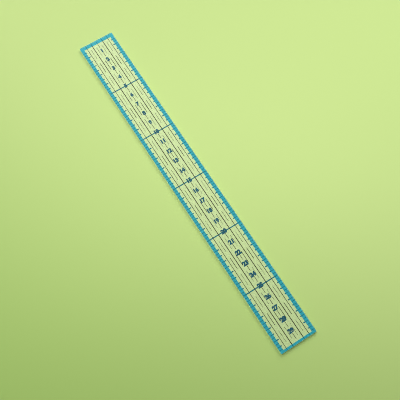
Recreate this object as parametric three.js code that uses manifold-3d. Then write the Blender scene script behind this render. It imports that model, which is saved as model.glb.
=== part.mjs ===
// A clear 30 cm sewing ruler: an acrylic strip with its scale and grid printed on the underside.
// Millimetres. +X runs across the ruler, +Y towards the zero end, +Z up out of the readable face.
// The origin is the middle of the footprint, on the surface that the ruler lies on.
// A reading is a distance from the scale's zero, which lies a little way in from the strip's end.

import * as THREE from "three";
import { mergeVertices } from "three/addons/utils/BufferGeometryUtils.js";
import Module from "manifold-3d";

// Clear strip
const stripLength = 301;
const stripWidth = 31;
const stripThickness = 2;
const cornerRadius = 0.6;
const edgeBreak = 0.15;       // small chamfer round the readable face

// Printed films, one silk-screen pass each
const lineFilm = 0.03;        // guide lines and cross lines
const borderFilm = 0.06;      // the border floods over the ends of the lines
const printMargin = 0.05;     // bare rim outside the border
const lineMargin = 0.3;       // the border's outer edge to the ends of the lines under it

// Border, from the strip's edge to the border's inner edge
const sideBorder = 2.9;
const zeroEndBorder = 2.9;
const farEndBorder = 1.9;

// Scale marks along the side borders
const zeroMargin = 0.9;       // from the strip's end to the scale's zero
const halfMarkPitch = 5;      // a mark at every half centimetre
const centimetreMark = 4.45;  // from the strip's edge to the mark's tip
const halfMark = 3.75;
const markWidth = 0.9;

// Lines
const guideSpacing = 5;       // between neighbouring long lines, counted from the middle
const boldGuideWidth = 0.6;
const fineGuideWidth = 0.42;
const crossSpacing = 50;
const crossWidth = 0.9;
const crossShoulder = 0.2;    // how far a cross line's film thickens beside a black line under it
const lineClearance = 0.5;    // least space between a line and the border's inner edge

// Dashes of the middle line, between the places of the centimetre numbers
const numberPitch = 10;
const dashStart = 1.7;        // past the middle of a number
const dashEnd = 6.5;
const dashWidth = 0.38;

const cornerSteps = 6;

const wasm = await Module();
wasm.setup();

const halfWidth = stripWidth / 2;
const halfLength = stripLength / 2;
const stripBottom = borderFilm;
const stripTop = stripBottom + stripThickness;
const lineBottom = stripBottom - lineFilm;
const windowX = halfWidth - sideBorder;
const windowZeroY = halfLength - zeroEndBorder;
const windowFarY = -halfLength + farEndBorder;
const lineReachX = halfWidth - printMargin - lineMargin;
const lineReachY = halfLength - printMargin - lineMargin;

const acrylic = new THREE.MeshStandardMaterial({
  color: 0xe4f3ee, roughness: 0.05, metalness: 0, transparent: true, opacity: 0.3,
});
const lightBlueInk = new THREE.MeshStandardMaterial({ color: 0x2ba3c8, roughness: 0.45, metalness: 0 });
const darkBlueInk = new THREE.MeshStandardMaterial({ color: 0x0a4f6e, roughness: 0.45, metalness: 0 });
const blackInk = new THREE.MeshStandardMaterial({ color: 0x23241a, roughness: 0.45, metalness: 0 });

// Place along the ruler of a reading.
function alongAt(reading) {
  return halfLength - zeroMargin - reading;
}

// Whether a place along the ruler lies inside the border's window, clear of both of its ends.
function inWindow(y) {
  return y < windowZeroY - lineClearance && y > windowFarY + lineClearance;
}

// A box given by its limits on each axis.
function slab([x0, x1], [y0, y1], [z0, z1]) {
  const box = new THREE.BoxGeometry(x1 - x0, y1 - y0, z1 - z0);
  return box.translate((x0 + x1) / 2, (y0 + y1) / 2, (z0 + z1) / 2);
}

function toSolid(geometry) {
  const bare = geometry.clone();
  bare.deleteAttribute("normal");
  bare.deleteAttribute("uv");
  const merged = mergeVertices(bare, 1e-5);
  return new wasm.Manifold(new wasm.Mesh({
    numProp: 3,
    vertProperties: new Float32Array(merged.attributes.position.array),
    triVerts: new Uint32Array(merged.index.array),
  }));
}

function toGeometry(solid) {
  const mesh = solid.getMesh();
  const geometry = new THREE.BufferGeometry();
  geometry.setAttribute("position", new THREE.BufferAttribute(new Float32Array(mesh.vertProperties), 3));
  geometry.setIndex(new THREE.BufferAttribute(new Uint32Array(mesh.triVerts), 1));
  return geometry;
}

// A rectangle about the origin with rounded corners.
function roundedRectangle(halfX, halfY, radius) {
  const shape = new THREE.Shape();
  shape.moveTo(halfX, -halfY + radius);
  shape.absarc(halfX - radius, halfY - radius, radius, 0, Math.PI / 2);
  shape.absarc(-halfX + radius, halfY - radius, radius, Math.PI / 2, Math.PI);
  shape.absarc(-halfX + radius, -halfY + radius, radius, Math.PI, 1.5 * Math.PI);
  shape.absarc(halfX - radius, -halfY + radius, radius, 1.5 * Math.PI, 2 * Math.PI);
  return shape;
}

// The clear strip: a rounded rectangle with its upper edge broken. The lower edge is cut square, so that
// the print under it reaches the strip's sides.
function stripGeometry() {
  const geometry = new THREE.ExtrudeGeometry(roundedRectangle(halfWidth, halfLength, cornerRadius), {
    depth: stripThickness - edgeBreak,
    curveSegments: cornerSteps,
    bevelThickness: edgeBreak,
    bevelSize: edgeBreak,
    bevelOffset: -edgeBreak,
    bevelSegments: 1,
  });
  geometry.translate(0, 0, stripBottom);
  const kept = slab([-stripWidth, stripWidth], [-stripLength, stripLength], [stripBottom, stripTop + edgeBreak]);
  return toGeometry(toSolid(geometry).intersect(toSolid(kept)));
}

// The half-centimetre marks that stand clear of the end borders and the cross lines.
function scaleMarks() {
  const marks = [];
  for (let i = 1; i * halfMarkPitch < stripLength; i++) {
    const reading = i * halfMarkPitch;
    const nearest = Math.round(reading / crossSpacing) * crossSpacing;
    const onCrossLine = nearest > 0 && Math.abs(reading - nearest) < (markWidth + crossWidth) / 2;
    const length = i % 2 === 0 ? centimetreMark : halfMark;
    if (inWindow(alongAt(reading)) && !onCrossLine) marks.push({ y: alongAt(reading), length });
  }
  return marks;
}

// Outline of the border along one side, whose inner edge carries the scale marks as teeth.
function sideBorderShape(side) {
  const shape = new THREE.Shape();
  const outer = side * (halfWidth - printMargin);
  const inner = side * windowX;
  shape.moveTo(outer, windowZeroY);
  shape.lineTo(inner, windowZeroY);
  for (const { y, length } of scaleMarks()) {
    const tip = side * (halfWidth - length);
    shape.lineTo(inner, y + markWidth / 2);
    shape.lineTo(tip, y + markWidth / 2);
    shape.lineTo(tip, y - markWidth / 2);
    shape.lineTo(inner, y - markWidth / 2);
  }
  shape.lineTo(inner, windowFarY);
  shape.lineTo(outer, windowFarY);
  return shape;
}

// Outline of the border across one end, with the strip's two rounded corners there.
function endBorderShape(end, inner) {
  const shape = new THREE.Shape();
  const outerX = halfWidth - printMargin;
  const radius = Math.max(cornerRadius - printMargin, printMargin);
  const cornerX = outerX - radius;
  const cornerY = end * (halfLength - printMargin - radius);
  const clockwise = end < 0;
  shape.moveTo(-outerX, inner);
  shape.lineTo(outerX, inner);
  shape.absarc(cornerX, cornerY, radius, 0, end * Math.PI / 2, clockwise);
  shape.absarc(-cornerX, cornerY, radius, end * Math.PI / 2, end * Math.PI, clockwise);
  return shape;
}

// A stretch of the border print, grooved where it covers lines that were printed before it.
function borderGeometry(shape, lines) {
  const film = toSolid(new THREE.ExtrudeGeometry(shape, {
    depth: borderFilm, curveSegments: cornerSteps, bevelEnabled: false,
  }));
  return toGeometry(lines.reduce((solid, line) => solid.subtract(toSolid(line)), film));
}

// The long guide lines, the bold pair nearest the middle.
function guideLines() {
  const lines = [];
  const ends = [-lineReachY, lineReachY];
  for (let i = 1; i * guideSpacing + fineGuideWidth / 2 < windowX - lineClearance; i++) {
    const width = i === 1 ? boldGuideWidth : fineGuideWidth;
    lines.push({ name: `guide_line_left_${i}`, x: -i * guideSpacing, width, ends });
    lines.push({ name: `guide_line_right_${i}`, x: i * guideSpacing, width, ends });
  }
  return lines;
}

// The dashes of the middle line. The first one starts under the zero end's border.
function middleDashes() {
  const dashes = [];
  for (let i = 0; inWindow(alongAt(i * numberPitch + dashEnd)); i++) {
    const start = i === 0 ? lineReachY : alongAt(i * numberPitch + dashStart);
    const ends = [alongAt(i * numberPitch + dashEnd), start];
    dashes.push({ name: `middle_dash_${i + 1}`, x: 0, width: dashWidth, ends });
  }
  return dashes;
}

// One black line along the ruler.
function blackLineGeometry({ x, width, ends }) {
  return slab([x - width / 2, x + width / 2], ends, [lineBottom, stripBottom]);
}

// A cross line: one film that steps down over the black lines printed before it.
function crossGeometry(y, blackLines) {
  const sides = [y - crossWidth / 2, y + crossWidth / 2];
  const crossed = blackLines.filter(({ ends }) => ends[0] < sides[1] && ends[1] > sides[0]);
  let cross = toSolid(slab([-lineReachX, lineReachX], sides, [lineBottom, stripBottom]));
  for (const { x, width } of crossed) {
    const reach = width / 2 + crossShoulder;
    cross = cross.add(toSolid(slab([x - reach, x + reach], sides, [lineBottom - lineFilm, stripBottom])));
  }
  for (const line of crossed) {
    cross = cross.subtract(toSolid(blackLineGeometry(line)));
  }
  return toGeometry(cross);
}

const ruler = new THREE.Group();

function addPart(name, geometry, material) {
  const mesh = new THREE.Mesh(geometry, material);
  mesh.name = name;
  ruler.add(mesh);
  return geometry;
}

addPart("clear_strip", stripGeometry(), acrylic);

const blackLines = [...guideLines(), ...middleDashes()];
const printedLines = blackLines.map((line) => addPart(line.name, blackLineGeometry(line), blackInk));

for (let i = 1; inWindow(alongAt(i * crossSpacing)); i++) {
  const cross = crossGeometry(alongAt(i * crossSpacing), blackLines);
  printedLines.push(addPart(`cross_line_${i}`, cross, darkBlueInk));
}

for (const [name, shape] of [
  ["zero_end_border", endBorderShape(1, windowZeroY)],
  ["far_end_border", endBorderShape(-1, windowFarY)],
  ["left_scale_border", sideBorderShape(-1)],
  ["right_scale_border", sideBorderShape(1)],
]) {
  addPart(name, borderGeometry(shape, printedLines), lightBlueInk);
}

export default ruler;
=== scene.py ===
"""Looks of a clear 30 cm sewing ruler: a polished acrylic strip over the ink printed on its underside.

Metres, in the part's frame: +X across the ruler, +Y towards its zero end, +Z up out of the readable face.
"""

import math

import bpy
import numpy as np
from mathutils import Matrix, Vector


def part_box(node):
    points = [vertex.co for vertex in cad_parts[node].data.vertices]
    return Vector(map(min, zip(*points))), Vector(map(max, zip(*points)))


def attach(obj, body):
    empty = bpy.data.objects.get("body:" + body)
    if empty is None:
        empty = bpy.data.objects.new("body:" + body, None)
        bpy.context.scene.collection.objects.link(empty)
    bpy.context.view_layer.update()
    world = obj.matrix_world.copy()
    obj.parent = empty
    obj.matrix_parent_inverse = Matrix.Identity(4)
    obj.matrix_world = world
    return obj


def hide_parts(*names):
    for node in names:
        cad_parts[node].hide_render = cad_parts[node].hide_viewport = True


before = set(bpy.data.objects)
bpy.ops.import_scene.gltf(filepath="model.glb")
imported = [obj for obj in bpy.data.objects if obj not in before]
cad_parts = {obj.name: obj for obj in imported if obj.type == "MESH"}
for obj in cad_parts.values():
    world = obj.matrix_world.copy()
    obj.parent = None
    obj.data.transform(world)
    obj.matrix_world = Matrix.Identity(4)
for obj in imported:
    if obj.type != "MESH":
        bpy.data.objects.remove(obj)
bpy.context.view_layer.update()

MM = 0.001

# Strip
strip_low, strip_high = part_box("clear_strip")
half_width = strip_high[0]
half_length = strip_high[1]
strip_bottom = strip_low[2]
strip_top = strip_high[2]
corner_radius = 0.6 * MM
edge_radius = 0.15 * MM
corner_steps = 8
edge_steps = 5
optical_contact = 0.004 * MM             # how deep the strip's underside lies in the ink that wets it
surface_reach = 0.01 * MM                # what lies this close to the strip's outline is its cut edge

# Films of ink
side_border = 2.9 * MM
zero_margin = 0.9 * MM                   # from the strip's end to the scale's zero
film_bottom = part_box("guide_line_left_1")[0][2]
film_front = strip_bottom + 0.006 * MM   # the marks and numbers lie just in front of the border
print_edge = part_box("zero_end_border")[1][0]
window_x = half_width - side_border
window_zero_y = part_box("left_scale_border")[1][1]
window_far_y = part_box("left_scale_border")[0][1]
zero_y = half_length - zero_margin

# Scale marks along both edges, from the strip's edge to their tips
mark_pitch = 2.5 * MM
mark_width = 0.6 * MM
quarter_mark = 2.8 * MM
half_mark = 3.75 * MM
centimetre_mark = 4.45 * MM
mark_cycle = (centimetre_mark, quarter_mark, half_mark, quarter_mark)
mark_outset = 0.1 * MM                   # from the print's edge to the marks' outer ends

# Numbers
number_pitch = 10 * MM
last_number = 29
number_height = 4.0 * MM
number_squeeze = 0.94                    # their width, as a share of the typeface's
number_weight = 0.081                    # how far each stroke is widened, in the typeface's own unit
number_rise = 0.33 * MM                  # from a reading's place towards the zero
number_curve_steps = 21

# Fine dashes: their distances from the middle, and their starts and ends past each cross line
cross_pitch = 50 * MM
dash_columns = (-7.5 * MM, -2.5 * MM, 2.5 * MM, 7.5 * MM)
whole_dash = (20 * MM, 30 * MM)
dotted_dashes = ((5 * MM, 15 * MM), (35 * MM, 45 * MM))
dash_width = 0.42 * MM
dot_length = 0.55 * MM
dot_pitch = 1.0 * MM

# Clear acrylic
acrylic_ior = 1.49
polished_roughness = 0.015
underside_clearness = 0.74               # the share of light that passes the underside unscattered
haze_colour = (0.93, 1.0, 0.79)

# Inks
number_blue = (0.0, 0.115, 0.17)
line_blue = (0.0, 0.20, 0.24)
lapped_mark_blue = (0.0, 0.26, 0.33)     # a mark where it lies over the border
border_blue = (0.02, 0.47, 0.56)
line_black = (0.035, 0.035, 0.001)
lapped_line_black = (0.0, 0.15, 0.20)    # a black line where it lies over the border
thin_film = 0.86                         # the shade of a film where it is thinnest

# Floor of green paper with painted light and shade: its colour gets lighter along one heading, painted light
# with a slight shift of hue, and a painted shade lifts along another
floor_size = 3.0                         # from its middle to each side
painted_shade_colour = (0.421, 0.633, 0.165)
painted_light_colour = (0.745, 0.965, 0.348)
painted_light_heading = math.radians(34)
painted_light_reach = (-0.252, 0.08)
painted_shade_heading = math.radians(-97)
painted_shade_reach = (-0.227, 0.072)
full_painted_shade = 0.8

# Backdrop: the floor turns into it between two distances from the origin, and it ends above the horizon
# between two slopes, each the rise of a sight line for its length
backdrop_colour = (0.58, 0.79, 0.28)
backdrop_reach = (0.34, 0.7)
backdrop_slopes = (0.3, 0.6)

# Light: softboxes, each with its centre, the point that it faces, its width, height and power
world_strength = 0.1
softboxes = (
    ("overhead_softbox", (-0.21, 0.22, 0.6), (-0.21, 0.22, 0.0), 0.46, 0.7, 1.75),
    ("far_softbox", (0.55, 0.6, 0.7), (0.55, 0.6, 0.0), 1.7, 1.8, 7.3),
    ("side_softbox", (0.55, 0.45, 0.5), (0.0, 0.0, 0.0), 0.7, 0.6, 2.9),
)

# The far softbox is dim about the point that the far end of the ruler mirrors
dim_spot = (0.14, -0.11, 0.7)
dim_reach = (0.05, 0.8)
dim_strengths = (0.4, 1.2)

# Camera
camera_azimuth = math.radians(-32.24)
camera_elevation = math.radians(69.62)
camera_distance = 0.5437
camera_aim = (-0.00167, -0.01854, 0.0)
camera_lens = 62.64


def add_object(name, verts, faces, material):
    """A flat-shaded mesh object at the origin with its place in its mesh."""
    mesh = bpy.data.meshes.new(name)
    mesh.from_pydata(verts.tolist(), [], faces)
    mesh.update()
    mesh.materials.append(material)
    piece = bpy.data.objects.new(name, mesh)
    bpy.context.scene.collection.objects.link(piece)
    return piece


def place(piece, slot, *nodes):
    """Says that a piece rides with the ruler and stands for some nodes, whose own meshes it hides. The slot
    is not used.
    """
    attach(piece, "root")
    if nodes:
        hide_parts(*nodes)


def shade(colour, factor):
    return tuple(channel * factor for channel in colour)


class Tree:
    """A node tree, with short calls for the nodes used here."""

    def __init__(self, tree):
        self.nodes = tree.nodes
        self.links = tree.links

    def put(self, value, socket):
        """Links a socket to another one, or sets it to a plain value."""
        if isinstance(value, bpy.types.NodeSocket):
            self.links.new(value, socket)
        else:
            socket.default_value = value

    def node(self, kind, **values):
        """A new node. A value goes to the socket of its name, or else is one of the node's settings."""
        node = self.nodes.new(kind)
        for name, value in values.items():
            socket = node.inputs.get(name.replace("_", " "))
            if socket is None:
                setattr(node, name, value)
            else:
                self.put(value, socket)
        return node

    def math(self, operation, *values):
        node = self.node("ShaderNodeMath", operation=operation)
        for socket, value in zip(node.inputs, values):
            self.put(value, socket)
        return node.outputs[0]

    def fade(self, value, reach, low, high, kind="SMOOTHSTEP"):
        """Goes from low to high while the value goes through its reach."""
        node = self.node("ShaderNodeMapRange", interpolation_type=kind, Value=value)
        limits = {"From Min": reach[0], "From Max": reach[1], "To Min": low, "To Max": high}
        for name, limit in limits.items():
            node.inputs[name].default_value = limit
        return node.outputs[0]

    def blend(self, factor, first, second):
        """A shader that goes from the first to the second with the factor."""
        node = self.node("ShaderNodeMixShader")
        for socket, source in zip(node.inputs, (factor, first, second)):
            self.put(source, socket)
        return node.outputs[0]

    def background_rays(self):
        """1 for rays that show a background: the camera's, and those that gloss or a clear piece sends on."""
        path = self.node("ShaderNodeLightPath").outputs
        sent_on = self.math("MAXIMUM", path["Is Glossy Ray"], path["Is Transmission Ray"])
        return self.math("MAXIMUM", path["Is Camera Ray"], sent_on)


class Shader(Tree):
    """A new material's node tree."""

    def __init__(self, name):
        self.material = bpy.data.materials.new(name)
        self.material.use_nodes = True
        super().__init__(self.material.node_tree)
        self.surface = self.nodes["Principled BSDF"]
        self.place = self.node("ShaderNodeTexCoord").outputs["Object"]

    def set(self, **values):
        for name, value in values.items():
            self.put(value, self.surface.inputs[name.replace("_", " ")])

    def axes(self):
        return self.node("ShaderNodeSeparateXYZ", Vector=self.place).outputs

    def stretched(self, scale):
        """Object coordinates scaled by a factor on each axis."""
        return self.node("ShaderNodeMapping", Vector=self.place, Scale=scale).outputs[0]

    def noise(self, size, detail=2.0, vector=None):
        """Noise about 0.5 with features of the given size in metres."""
        node = self.node("ShaderNodeTexNoise", Vector=vector or self.place, Scale=1 / size, Detail=detail)
        return node.outputs["Fac"]

    def between(self, factor, low, high):
        """Low where the factor is 0.3 or less and high where it is 0.7 or more."""
        return self.fade(factor, (0.3, 0.7), low, high, "LINEAR")

    def ramp(self, heading, reach, low, high):
        """Goes softly from low to high between two distances along a heading, an angle in the XY plane."""
        x, y, z = self.axes()
        along_y = self.math("MULTIPLY", y, math.sin(heading))
        return self.fade(self.math("MULTIPLY_ADD", x, math.cos(heading), along_y), reach, low, high)

    def mix(self, factor, first, second):
        """A colour that goes from the first to the second with the factor."""
        node = self.node("ShaderNodeMix", data_type="RGBA")
        self.put(factor, node.inputs[0])
        for socket, value in zip(node.inputs[6:8], (first, second)):
            self.put((*value, 1) if isinstance(value, tuple) else value, socket)
        return node.outputs[2]

    def mix_numbers(self, factor, first, second):
        """A number that goes from the first to the second with the factor."""
        node = self.node("ShaderNodeMix", data_type="FLOAT")
        for socket, value in zip((node.inputs[0], node.inputs[2], node.inputs[3]), (factor, first, second)):
            self.put(value, socket)
        return node.outputs[0]

    def bump(self, height, depth):
        """A bump of the given depth in metres."""
        self.set(Normal=self.node("ShaderNodeBump", Height=height, Distance=depth).outputs[0])

    def show(self, shader):
        """Gives the material this shader in place of its plain surface."""
        self.put(shader, self.nodes["Material Output"].inputs["Surface"])

    def let_lamps_through(self, *conditions):
        """Lets a lamp's light go straight through a clear face, where every one of the conditions is 1."""
        path = self.node("ShaderNodeLightPath").outputs
        factor = self.math("MAXIMUM", path["Is Shadow Ray"], path["Is Diffuse Ray"])
        for condition in conditions:
            factor = self.math("MULTIPLY", factor, condition)
        passed = self.node("ShaderNodeBsdfTransparent", Color=(1, 1, 1, 1))
        self.show(self.blend(factor, self.surface.outputs[0], passed.outputs[0]))

    def fade_to_backdrop(self):
        """Far from the origin, the surface turns into the backdrop for rays that show a background."""
        distance = self.node("ShaderNodeVectorMath", operation="LENGTH", Vector=self.place).outputs["Value"]
        factor = self.math("MULTIPLY", self.fade(distance, backdrop_reach, 0, 1), self.background_rays())
        glow = self.node("ShaderNodeEmission", Color=(*backdrop_colour, 1))
        self.show(self.blend(factor, self.surface.outputs[0], glow.outputs[0]))


def acrylic():
    """Polished clear acrylic with faint hairline scratches, and a finely sawn, slightly frosted cut edge."""
    s = Shader("clear_acrylic")
    x, y, z = s.axes()
    past_side = s.math("GREATER_THAN", s.math("ABSOLUTE", x), half_width - surface_reach)
    past_end = s.math("GREATER_THAN", s.math("ABSOLUTE", y), half_length - surface_reach)
    cut_edge = s.math("MAXIMUM", past_side, past_end)
    hairlines = s.noise(1.0, 3.0, s.stretched((2500, 90, 2500)))
    scratch = s.math("GREATER_THAN", hairlines, 0.69)
    scratched = s.math("MULTIPLY_ADD", scratch, 0.1, polished_roughness)
    sawn = s.between(s.noise(1.0, 1.0, s.stretched((6000, 6000, 200))), 0.08, 0.24)
    s.set(Base_Color=(1, 1, 1, 1), Roughness=s.mix_numbers(cut_edge, scratched, sawn))
    s.set(IOR=acrylic_ior, Transmission_Weight=1.0)
    s.let_lamps_through(s.node("ShaderNodeNewGeometry").outputs["Backfacing"])
    return s.material


def underside():
    """The strip's lower face, milky from rubbing over cloth and board, rougher along fine scuffs."""
    s = Shader("scuffed_underside")
    scuffs = s.noise(1.0, 3.0, s.stretched((1400, 300, 1400)))
    clouds = s.between(s.noise(14 * MM), 0.9, 1.0)
    s.set(Base_Color=s.mix(clouds, shade(haze_colour, 0.97), haze_colour))
    s.set(Roughness=s.between(scuffs, polished_roughness, 0.06))
    s.set(IOR=acrylic_ior, Transmission_Weight=underside_clearness)
    s.let_lamps_through()
    return s.material


def ink(name, colour, window_colour=None):
    """Screen-print ink: a film of slightly uneven density, with the fine grid of the screen's mesh in it. A
    window colour, where one is given, is the film's colour inside the border's window."""
    s = Shader(name)
    x, y, z = s.axes()
    dense = colour
    thin = shade(colour, thin_film)
    if window_colour:
        inside = s.math("LESS_THAN", s.math("ABSOLUTE", x), window_x)
        inside = s.math("MULTIPLY", inside, s.math("LESS_THAN", y, window_zero_y))
        inside = s.math("MULTIPLY", inside, s.math("GREATER_THAN", y, window_far_y))
        dense = s.mix(inside, dense, window_colour)
        thin = s.mix(inside, thin, shade(window_colour, thin_film))
    density = s.between(s.noise(0.9 * MM, 4.0), 0.0, 1.0)
    s.set(Base_Color=s.mix(density, thin, dense), Specular_IOR_Level=0.1)
    s.set(Roughness=s.between(s.noise(0.35 * MM), 0.36, 0.52))
    thread_pitch = 0.14 * MM
    threads = [s.math("SINE", s.math("MULTIPLY", axis, 2 * math.pi / thread_pitch)) for axis in (x, y)]
    s.bump(s.math("MULTIPLY", *threads), 0.002 * MM)
    return s.material


def paper():
    """Matt green paper, with painted light and painted shade that change softly over the floor."""
    s = Shader("pale_green_paper")
    # Painted light: the paper's colour grows lighter along one heading. Painted shade: it darkens along
    # another.
    painted_light_paper = s.mix(s.ramp(painted_light_heading, painted_light_reach, 0, 1), painted_shade_colour, painted_light_colour)
    painted_shade_paper = s.mix(s.ramp(painted_shade_heading, painted_shade_reach, full_painted_shade, 1), (0, 0, 0), painted_light_paper)
    s.set(Base_Color=painted_shade_paper, Roughness=0.9, Specular_IOR_Level=0.2)
    s.fade_to_backdrop()
    return s.material


def rounded_ring(inset, height):
    """Points round the strip's outline moved inwards by inset: a quarter turn of the corner radius less the
    inset about each of the four corners' centres."""
    turn = np.linspace(0, math.pi / 2, corner_steps + 1)
    angle = np.concatenate([turn + corner * math.pi / 2 for corner in range(4)])
    side_x = np.repeat([1, -1, -1, 1], corner_steps + 1)
    side_y = np.repeat([1, 1, -1, -1], corner_steps + 1)
    x = side_x * (half_width - corner_radius) + (corner_radius - inset) * np.cos(angle)
    y = side_y * (half_length - corner_radius) + (corner_radius - inset) * np.sin(angle)
    return np.stack([x, y, np.full_like(x, height)], 1)


def strip_piece(material, lower_material):
    """The strip: an edge profile, square at the bottom and with a small quarter round at the top, carried
    round a rectangle with rounded corners, and closed by a flat face above and below. The lower face has a
    finish of its own."""
    turn = np.linspace(0, math.pi / 2, edge_steps + 1)
    insets = np.concatenate([[0], edge_radius * (1 - np.cos(turn))])
    upper_heights = strip_top - edge_radius * (1 - np.sin(turn))
    heights = np.concatenate([[strip_bottom - optical_contact], upper_heights])
    rings = [rounded_ring(inset, height) for inset, height in zip(insets, heights)]
    count = len(rings[0])
    corner = np.arange(count)
    following = (corner + 1) % count
    wall = np.stack([corner, following, following + count, corner + count], 1)
    faces = (wall + count * np.arange(len(rings) - 1)[:, None, None]).reshape(-1, 4).tolist()
    faces.append(corner[::-1].tolist())
    faces.append((corner + count * (len(rings) - 1)).tolist())
    strip = add_object("acrylic_strip", np.concatenate(rings), faces, material)
    strip.data.materials.append(lower_material)
    strip.data.polygons[len(faces) - 2].material_index = 1
    return strip


def film_boxes(name, limits, material):
    """Rectangles of ink, one for each row of x0, x1, y0, y1, with the thickness of the film."""
    x0, x1, y0, y1 = np.array(limits).T
    corners_x = np.stack([x0, x1, x1, x0] * 2, 1)
    corners_y = np.stack([y0, y0, y1, y1] * 2, 1)
    corners_z = np.broadcast_to(np.repeat([film_bottom, film_front], 4), corners_x.shape)
    quads = np.array([(3, 2, 1, 0), (4, 5, 6, 7), (0, 1, 5, 4), (1, 2, 6, 5), (2, 3, 7, 6), (3, 0, 4, 7)])
    faces = (8 * np.arange(len(x0))[:, None, None] + quads).reshape(-1, 4).tolist()
    return add_object(name, np.stack([corners_x, corners_y, corners_z], 2).reshape(-1, 3), faces, material)


def mark_piece(name, side, material):
    """Scale marks along one side: short, longer and longest at quarter, half and whole centimetres."""
    rows = []
    for index in range(1, math.ceil(2 * half_length / mark_pitch)):
        y = zero_y - index * mark_pitch
        length = mark_cycle[index % len(mark_cycle)]
        ends = sorted((side * (print_edge - mark_outset), side * (half_width - length)))
        if window_far_y + mark_width < y < window_zero_y - mark_width:
            rows.append((*ends, y - mark_width / 2, y + mark_width / 2))
    return film_boxes(name, rows, material)


def number_shape(number):
    """Points and faces of one number as solid text, 1 thick, in the typeface's own unit."""
    curve = bpy.data.curves.new("number", "FONT")
    curve.body = str(number)
    curve.offset = number_weight
    curve.extrude = 0.5
    curve.resolution_u = number_curve_steps
    text = bpy.data.objects.new("number", curve)
    bpy.context.scene.collection.objects.link(text)
    mesh = bpy.data.meshes.new_from_object(text.evaluated_get(bpy.context.evaluated_depsgraph_get()))
    points = np.empty(3 * len(mesh.vertices))
    mesh.vertices.foreach_get("co", points)
    faces = [list(polygon.vertices) for polygon in mesh.polygons]
    bpy.data.objects.remove(text)
    bpy.data.curves.remove(curve)
    bpy.data.meshes.remove(mesh)
    return points.reshape(-1, 3), faces


def number_piece(material):
    """The centimetre numbers: each one's solid text scaled to the numbers' height, moved to its reading and
    flattened to the film's thickness."""
    verts = []
    faces = []
    start = 0
    for number in range(1, last_number + 1):
        points, polygons = number_shape(number)
        low = points.min(0)
        high = points.max(0)
        scale = number_height / (high[1] - low[1])
        x, y = ((points - (low + high) / 2) * scale)[:, :2].T
        z = np.where(points[:, 2] > 0, film_front, film_bottom)
        verts.append(np.stack([x * number_squeeze, y + zero_y - number * number_pitch + number_rise, z], 1))
        faces += [[start + corner for corner in polygon] for polygon in polygons]
        start += len(points)
    return add_object("centimetre_numbers", np.concatenate(verts), faces, material)


def dash_piece(material):
    """Fine lines half way between the guide lines: in each space between two cross lines a whole dash in the
    middle and a row of dots either side of it."""
    spans = [whole_dash]
    for first, last in dotted_dashes:
        spans += [(start, start + dot_length) for start in np.arange(first, last, dot_pitch)]
    rows = []
    for block in np.arange(0, last_number * number_pitch, cross_pitch):
        for x in dash_columns:
            sides = (x - dash_width / 2, x + dash_width / 2)
            rows += [(*sides, zero_y - block - end, zero_y - block - start) for start, end in spans]
    return film_boxes("fine_dashes", rows, material)


def room():
    """Dim white light from all round, and low down a plain backdrop for rays that show a background."""
    world = bpy.data.worlds.new("world")
    world.use_nodes = True
    tree = Tree(world.node_tree)
    light = tree.nodes["Background"]
    light.inputs["Color"].default_value = (1, 1, 1, 1)
    light.inputs["Strength"].default_value = world_strength
    backdrop = tree.node("ShaderNodeBackground", Color=(*backdrop_colour, 1))
    direction = tree.node("ShaderNodeTexCoord").outputs["Generated"]
    up = tree.node("ShaderNodeSeparateXYZ", Vector=direction).outputs["Z"]
    seen = tree.math("MULTIPLY", tree.background_rays(), tree.fade(up, backdrop_slopes, 1, 0))
    either = tree.blend(seen, light.outputs[0], backdrop.outputs[0])
    tree.put(either, tree.nodes["World Output"].inputs["Surface"])
    return world


def add_softbox(name, centre, target, width, height, power):
    lamp_data = bpy.data.lights.new(name, "AREA")
    lamp_data.shape = "RECTANGLE"
    lamp_data.size = width
    lamp_data.size_y = height
    lamp_data.energy = power
    lamp = bpy.data.objects.new(name, lamp_data)
    lamp.location = centre
    lamp.rotation_euler = (Vector(target) - Vector(centre)).to_track_quat("-Z", "Y").to_euler()
    bpy.context.scene.collection.objects.link(lamp)


def dim_about_spot(lamp_data):
    """Makes a lamp's face dimmest at the dim spot and brighter with the distance from it."""
    lamp_data.use_nodes = True
    tree = Tree(lamp_data.node_tree)
    position = tree.node("ShaderNodeNewGeometry").outputs["Position"]
    distance = tree.node("ShaderNodeVectorMath", operation="DISTANCE", Vector=position)
    distance.inputs[1].default_value = dim_spot
    strength = tree.fade(distance.outputs["Value"], dim_reach, *dim_strengths)
    tree.put(strength, tree.nodes["Emission"].inputs["Strength"])


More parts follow.
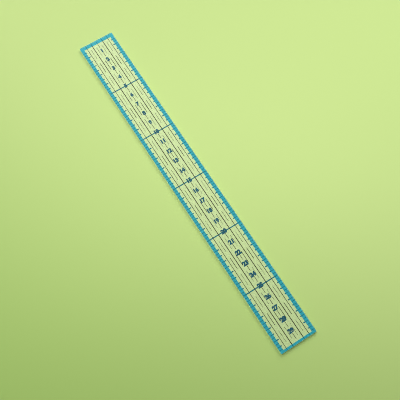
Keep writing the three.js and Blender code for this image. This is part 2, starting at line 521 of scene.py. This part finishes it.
def add_camera():
    """A camera at its distance from its aim, along its azimuth and elevation."""
    camera_data = bpy.data.cameras.new("camera")
    camera_data.lens = camera_lens
    camera_data.sensor_width = 36
    camera_data.clip_start = 0.01
    camera = bpy.data.objects.new("camera", camera_data)
    back = np.array([
        math.sin(camera_azimuth) * math.cos(camera_elevation),
        -math.cos(camera_azimuth) * math.cos(camera_elevation),
        math.sin(camera_elevation),
    ])
    camera.location = np.array(camera_aim) + camera_distance * back
    camera.rotation_euler = (math.pi / 2 - camera_elevation, 0, camera_azimuth)
    bpy.context.scene.collection.objects.link(camera)
    return camera


# Pieces
marks_ink = ink("dark_blue_ink_on_border", lapped_mark_blue, line_blue)
numbers_ink = ink("dark_blue_ink", number_blue)
dashes_ink = ink("black_ink", line_black)
place(strip_piece(acrylic(), underside()), "clear_acrylic", "clear_strip")
place(mark_piece("left_marks", -1, marks_ink), "dark_blue_ink")
place(mark_piece("right_marks", 1, marks_ink), "dark_blue_ink")
place(number_piece(numbers_ink), "dark_blue_ink")
place(dash_piece(dashes_ink), "black_ink")

# The model's own films, by a word in their names. A scale border's teeth are marks
films = {
    "scale_border": ink("light_blue_ink_with_marks", border_blue, line_blue),
    "end_border": ink("light_blue_ink", border_blue),
    "cross_line": ink("dark_blue_ink_of_lines", line_blue),
    "guide_line": ink("black_ink_of_lines", lapped_line_black, line_black),
}
films["middle_dash"] = films["guide_line"]
for name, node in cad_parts.items():
    for word, film in films.items():
        if word in name:
            node.data.materials.clear()
            node.data.materials.append(film)

# Surroundings
floor_corners = floor_size * np.array([(-1, -1, 0), (1, -1, 0), (1, 1, 0), (-1, 1, 0)])
floor = add_object("floor", floor_corners, [(0, 1, 2, 3)], paper())
bpy.context.scene.world = room()
for softbox in softboxes:
    add_softbox(*softbox)
dim_about_spot(bpy.data.lights["far_softbox"])
bpy.context.scene.camera = add_camera()
bpy.context.scene.view_settings.view_transform = "Standard"

# Thin printed lines stay crisp: reflections aren't blurred, and the pixel filter and the denoiser are sharp
bpy.context.scene.cycles.blur_glossy = 0.0
bpy.context.scene.cycles.filter_width = 1.0
bpy.context.scene.cycles.denoising_prefilter = "NONE"
